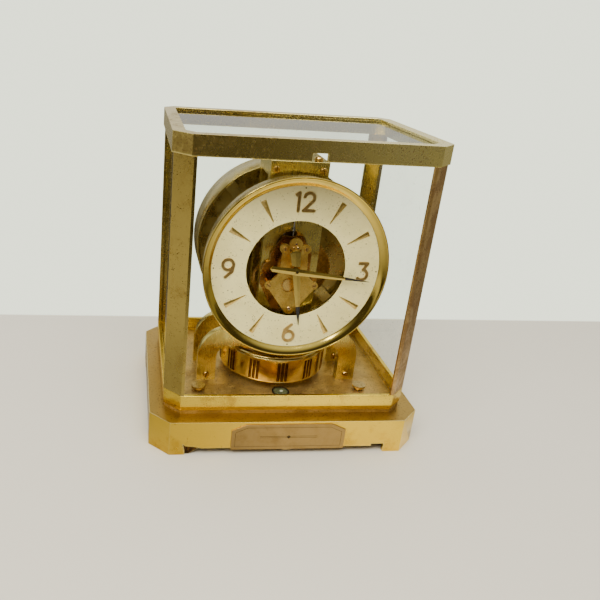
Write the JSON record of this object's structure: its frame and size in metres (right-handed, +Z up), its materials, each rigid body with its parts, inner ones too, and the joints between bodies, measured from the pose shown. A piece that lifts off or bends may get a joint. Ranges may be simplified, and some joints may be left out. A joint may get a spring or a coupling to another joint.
{
  "type": "anniversary clock",
  "caption": "Glazed brass mantel clock with an open dial, a bellows drum behind the movement and a heavy fluted ring that turns slowly below it on a torsion wire.",
  "frame": {"origin": "bottom centre of the base, on the surface it stands on", "axes": "+Z up, dial faces -Y, +X to the right of the dial"},
  "size_m": [0.21, 0.1628, 0.235],
  "materials": {
    "applied_gold": "gilt",
    "balance_gold": "polished",
    "bellows_metal": "dull",
    "deck_brass": "stained and dull",
    "dial_silver": "matte cream silver",
    "gilt": "frosted gilt",
    "glass": "clear",
    "level_fluid": "clear",
    "level_metal": "dark, matte",
    "plaque_brass": "satin, coppery",
    "plinth_brass": "polished, lacquered and worn",
    "polished_brass": "polished",
    "satin_brass": "fine satin",
    "screw_brass": "turned",
    "steel": "polished",
    "wheel_brass": "coppery, satin"
  },
  "bodies": {
    "case": {"back_plate": "gilt", "barrel_arbor": "steel", "base_plinth": "plinth_brass", "bellows_drum": "satin_brass", "bellows_stack": "bellows_metal", "bezel": "polished_brass", "bottom_rail": "plinth_brass", "coin_edge": "polished_brass", "deck_plate": "deck_brass", "dial_batons": "applied_gold", "dial_case": "satin_brass", "dial_numerals": "applied_gold", "dial_ring": "dial_silver", "drum_cap": "satin_brass", "front_bracket": "satin_brass", "front_bridge": "gilt", "glass_left": "glass", "glass_rear": "glass", "glass_right": "glass", "glass_top": "glass", "index_needle": "steel", "level_cup": "level_metal", "level_vial": "level_fluid", "machine_screws": "screw_brass", "pallet_cock": "gilt", "pillar_front_left": "plinth_brass", "pillar_front_right": "plinth_brass", "pillar_rear_left": "plinth_brass", "pillar_rear_right": "plinth_brass", "plaque": "plaque_brass", "rear_bracket": "satin_brass", "return_spring": "steel", "top_block": "satin_brass", "top_rail": "plinth_brass", "torsion_wire": "steel", "train_cock": "gilt"},
    "centre": {"centre_arbor": "steel", "centre_wheel": "wheel_brass", "cannon_pinion": "steel", "minute_hand": "applied_gold"},
    "hour": {"hour_wheel": "wheel_brass", "hour_hand": "applied_gold"},
    "motion": {"motion_wheel": "wheel_brass"},
    "idler": {"idler_wheel": "wheel_brass"},
    "escape": {"escape_arbor": "steel", "escape_wheel": "wheel_brass"},
    "second": {"second_arbor": "steel", "second_wheel": "wheel_brass"},
    "barrel": {"mainspring_barrel": "wheel_brass", "mainspring": "steel"},
    "pallet": {"pallet_lever": "steel"},
    "balance": {"balance_ring": "balance_gold", "balance_spider": "balance_gold", "balance_staff": "balance_gold"},
    "bellows": {"pressure_plate": "bellows_metal"},
    "winder": {"winding_lever": "satin_brass"},
    "lock": {"lock_lever": "screw_brass"},
    "lock_pin": {"lock_plunger": "screw_brass"},
    "level_left": {"levelling_screw_left": "screw_brass"},
    "level_right": {"levelling_screw_right": "screw_brass"}
  },
  "joints": [
    {"name": "minute_spin", "type": "hinge", "parent": "case", "child": "centre", "pos_m": [0, -0.03, 0.136], "axis": [0, 1, 0], "continuous": true},
    {"name": "hour_spin", "type": "hinge", "parent": "case", "child": "hour", "pos_m": [0, -0.04, 0.136], "axis": [0, 1, 0], "continuous": true},
    {"name": "motion_spin", "type": "hinge", "parent": "case", "child": "motion", "pos_m": [-0.0025, -0.034, 0.1215], "axis": [0, 1, 0], "continuous": true},
    {"name": "idler_spin", "type": "hinge", "parent": "case", "child": "idler", "pos_m": [0, -0.029, 0.119], "axis": [0, 1, 0], "continuous": true},
    {"name": "escape_spin", "type": "hinge", "parent": "case", "child": "escape", "pos_m": [0, -0.02, 0.1016], "axis": [0, 1, 0], "continuous": true},
    {"name": "second_spin", "type": "hinge", "parent": "case", "child": "second", "pos_m": [-0.0095, -0.016, 0.1185], "axis": [0, 1, 0], "continuous": true},
    {"name": "barrel_spin", "type": "hinge", "parent": "case", "child": "barrel", "pos_m": [0.015, -0.006, 0.1255], "axis": [0, 1, 0], "continuous": true},
    {"name": "pallet_swing", "type": "hinge", "parent": "case", "child": "pallet", "pos_m": [0, -0.012, 0.0889], "axis": [0, 1, 0], "range_deg": [-3, 3]},
    {"name": "balance_turn", "type": "hinge", "parent": "case", "child": "balance", "pos_m": [0, 0.002, 0.05], "axis": [0, 0, 1], "range_deg": [-270, 270], "stiffness_Nm_per_rad": 0.000007},
    {"name": "bellows_breath", "type": "slide", "parent": "case", "child": "bellows", "axis": [0, 1, 0], "range_m": [-0.0015, 0.0015], "stiffness_N_per_m": 1500, "deforming": ["bellows_stack", "return_spring"]},
    {"name": "winding_rock", "type": "hinge", "parent": "case", "child": "winder", "pos_m": [-0.009, 0.0045, 0.155], "axis": [1, 0, 0], "range_deg": [-5, 5]},
    {"name": "lock_turn", "type": "hinge", "parent": "case", "child": "lock", "pos_m": [0, -0.014, 0.005], "axis": [0, 0, 1], "range_deg": [0, 30]},
    {"name": "lock_lift", "type": "slide", "parent": "case", "child": "lock_pin", "axis": [0, 0, 1], "range_m": [0, 0.0066]},
    {"name": "level_turn_left", "type": "hinge", "parent": "case", "child": "level_left", "pos_m": [-0.066, -0.039, 0.02], "axis": [0, 0, 1], "range_deg": [-360, 360]},
    {"name": "level_turn_right", "type": "hinge", "parent": "case", "child": "level_right", "pos_m": [0.066, -0.039, 0.02], "axis": [0, 0, 1], "range_deg": [-360, 360]}
  ],
  "couplings": [
    {"joint": "hour_spin", "follows": "minute_spin", "ratio": 0.083333},
    {"joint": "motion_spin", "follows": "minute_spin", "ratio": -0.33333},
    {"joint": "idler_spin", "follows": "minute_spin", "ratio": -2},
    {"joint": "escape_spin", "follows": "minute_spin", "ratio": 4},
    {"joint": "second_spin", "follows": "minute_spin", "ratio": -0.16667},
    {"joint": "barrel_spin", "follows": "minute_spin", "ratio": 0.027778},
    {"joint": "winding_rock", "follows": "bellows_breath", "rad_per_m": 50},
    {"joint": "lock_lift", "follows": "lock_turn", "m_per_rad": 0.0126}
  ]
}
